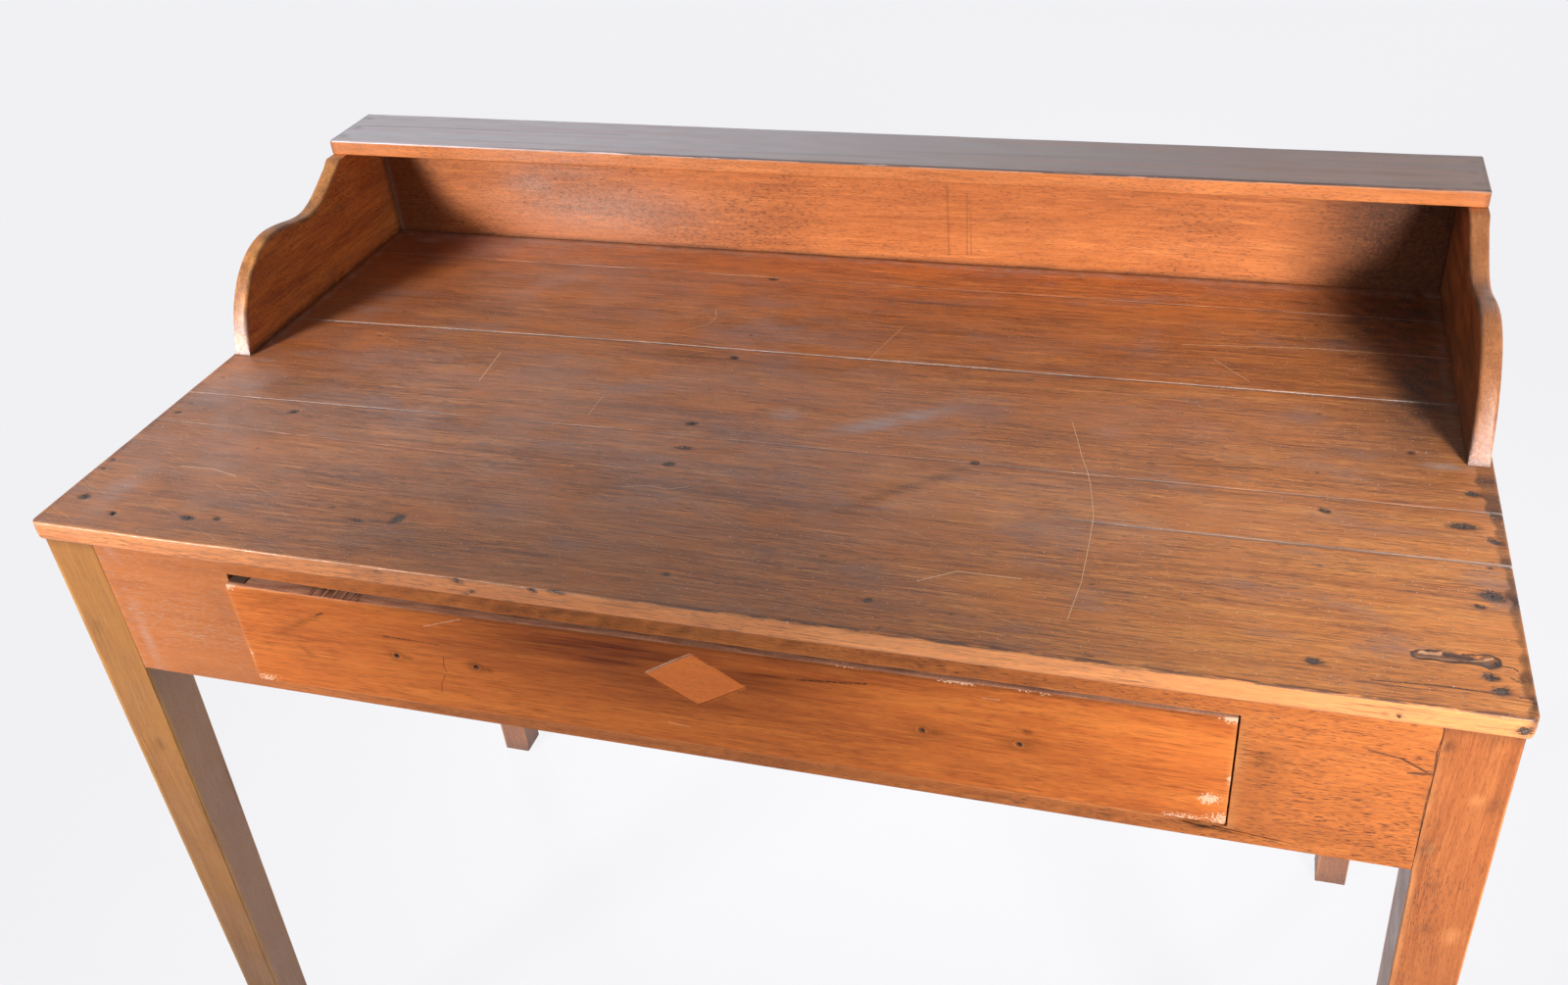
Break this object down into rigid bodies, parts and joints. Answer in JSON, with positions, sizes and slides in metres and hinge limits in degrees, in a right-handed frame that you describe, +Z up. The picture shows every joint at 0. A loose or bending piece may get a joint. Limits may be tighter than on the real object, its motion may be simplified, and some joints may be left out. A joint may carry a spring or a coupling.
{
  "type": "writing desk",
  "caption": "Plain country sewing and writing desk with tapered legs, a long dovetailed drawer with a lozenge inlay, and a low ogee-sided gallery with a shelf.",
  "frame": {"origin": "on the floor, under the middle of the desk's bounding box", "axes": "+X along the desk to the sitter's right, +Y from the sitter to the gallery at the back, +Z up"},
  "size_m": [1.1, 0.5756, 0.888],
  "materials": {
    "top_board_wood": "old oiled pine, worn satin, red-brown with grey dust and dents",
    "gallery_wood": "old oiled pine, satin, a little duller than the top",
    "apron_wood": "old oiled pine, satin orange-brown with fine dark pores",
    "drawer_front_wood": "old oiled pine, satin, with worn pale corners",
    "leg_wood": "old hardwood, satin, darker grey-brown on the inner faces",
    "inlay_wood": "lighter satin wood",
    "drawer_inside_wood": "unfinished matt pine, greyed by age",
    "hidden_wood": "unfinished matt pine, dark with age",
    "hole_filler": "grey-white putty with dark pits",
    "iron": "old cut iron, dull dark rust"
  },
  "bodies": {
    "root": {"apron_back": "hidden_wood", "apron_front": "apron_wood", "apron_joint_nails": "iron", "apron_left": "apron_wood", "apron_right": "apron_wood", "batten_nails": "iron", "drawer_guide_left": "hidden_wood", "drawer_guide_right": "hidden_wood", "drawer_runner_left": "hidden_wood", "drawer_runner_right": "hidden_wood", "drawer_stops": "hidden_wood", "gallery_back": "gallery_wood", "gallery_back_nails": "iron", "gallery_dowels": "hidden_wood", "gallery_screws": "iron", "gallery_shelf": "gallery_wood", "gallery_side_left": "gallery_wood", "gallery_side_right": "gallery_wood", "guide_nails": "iron", "leg_back_left": "leg_wood", "leg_back_right": "leg_wood", "leg_front_left": "leg_wood", "leg_front_right": "leg_wood", "shelf_nails": "iron", "top_batten_centre": "hidden_wood", "top_batten_left": "hidden_wood", "top_batten_right": "hidden_wood", "top_board_1": "top_board_wood", "top_board_2": "top_board_wood", "top_board_3": "top_board_wood", "top_board_4": "top_board_wood", "top_board_5": "top_board_wood", "top_nails": "iron"},
    "drawer": {"drawer_back": "drawer_inside_wood", "drawer_back_nails": "iron", "drawer_bottom_front_board": "drawer_inside_wood", "drawer_bottom_nails": "iron", "drawer_bottom_rear_board": "drawer_inside_wood", "drawer_front": "drawer_front_wood", "drawer_lozenge_inlay": "inlay_wood", "drawer_side_left": "drawer_inside_wood", "drawer_side_right": "drawer_inside_wood", "handle_hole_plugs": "hole_filler"}
  },
  "joints": [
    {"name": "drawer_slide", "type": "slide", "parent": "root", "child": "drawer", "axis": [0.0086, -1, 0], "range_m": [-0.003, 0.34]}
  ]
}
